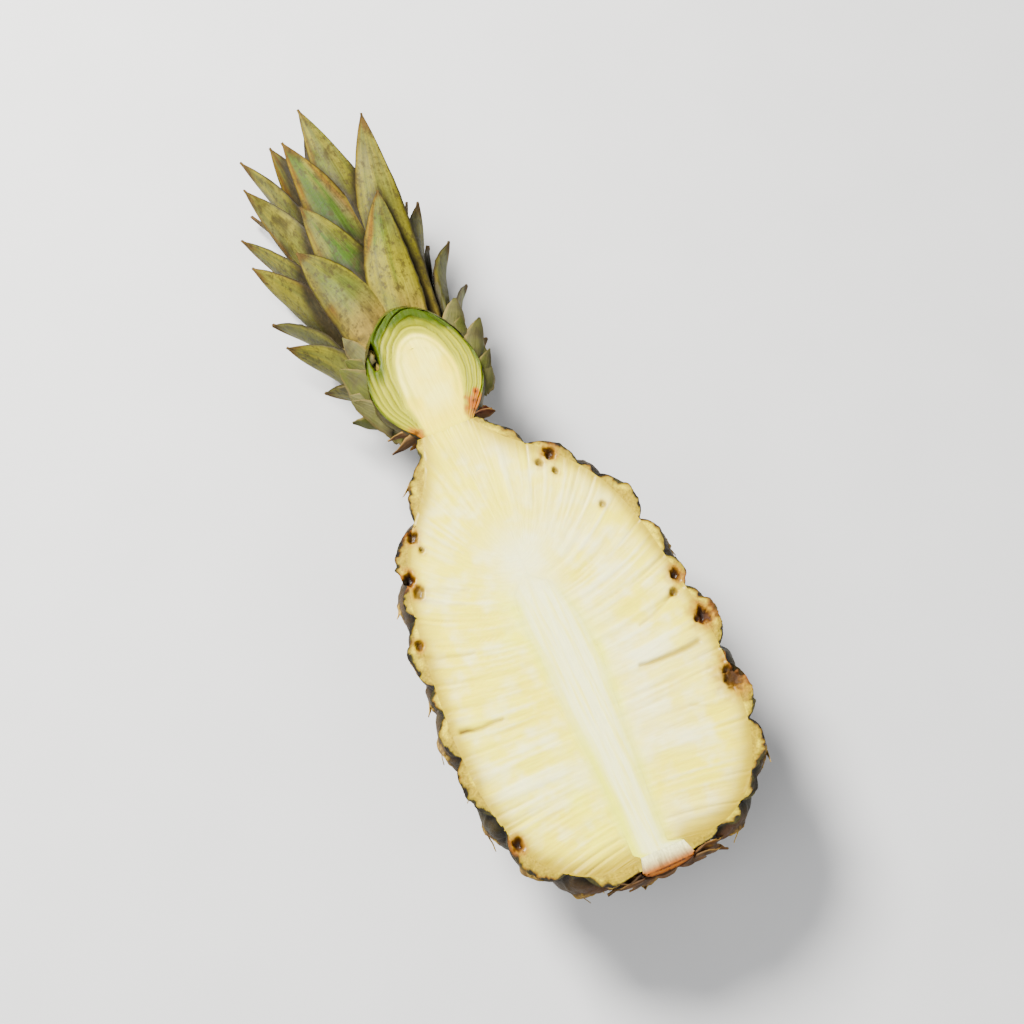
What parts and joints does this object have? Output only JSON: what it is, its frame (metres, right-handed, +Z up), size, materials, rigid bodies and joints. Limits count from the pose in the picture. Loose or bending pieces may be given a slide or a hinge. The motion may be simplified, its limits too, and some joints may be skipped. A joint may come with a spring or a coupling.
{
  "type": "halved pineapple with crown",
  "caption": "Half of a ripe pineapple cut lengthwise through fruit and crown stem, lying on its rind with the cut face up and its leafy crown still on.",
  "frame": {"origin": "middle of the underside of the bounding box, on the surface that the fruit lies on", "axes": "+Z up, out of the level cut face; +Y from the fruit's base to its crown; +X to the right, seen from above with the crown away"},
  "size_m": [0.1152, 0.3666, 0.0579],
  "materials": {
    "rind": "matte",
    "flesh": "satin",
    "core": "satin",
    "dry_stalk": "matte",
    "dry_bract": "matte",
    "stem": "satin",
    "leaf_base": "satin",
    "leaf": "satin"
  },
  "bodies": {
    "root": {"rind": "rind", "flesh": "flesh", "core": "core", "stalk_scar": "dry_stalk", "base_bracts": "dry_bract", "neck_bracts": "dry_bract", "crown_stem": "stem", "leaf_bases": "leaf_base", "leaf_01": "leaf", "leaf_02": "leaf", "leaf_03": "leaf", "leaf_04": "leaf", "leaf_05": "leaf", "leaf_06": "leaf", "leaf_07": "leaf", "leaf_08": "leaf", "leaf_09": "leaf", "leaf_10": "leaf", "leaf_11": "leaf", "leaf_12": "leaf", "leaf_13": "leaf", "leaf_14": "leaf", "leaf_15": "leaf", "leaf_16": "leaf", "leaf_17": "leaf", "leaf_18": "leaf", "leaf_19": "leaf", "leaf_20": "leaf", "leaf_21": "leaf", "leaf_22": "leaf", "leaf_23": "leaf", "leaf_24": "leaf", "leaf_25": "leaf", "leaf_26": "leaf", "leaf_27": "leaf", "leaf_28": "leaf", "leaf_29": "leaf", "leaf_30": "leaf", "leaf_31": "leaf", "leaf_32": "leaf", "leaf_33": "leaf", "leaf_34": "leaf", "leaf_35": "leaf", "leaf_36": "leaf", "leaf_37": "leaf"}
  },
  "joints": []
}
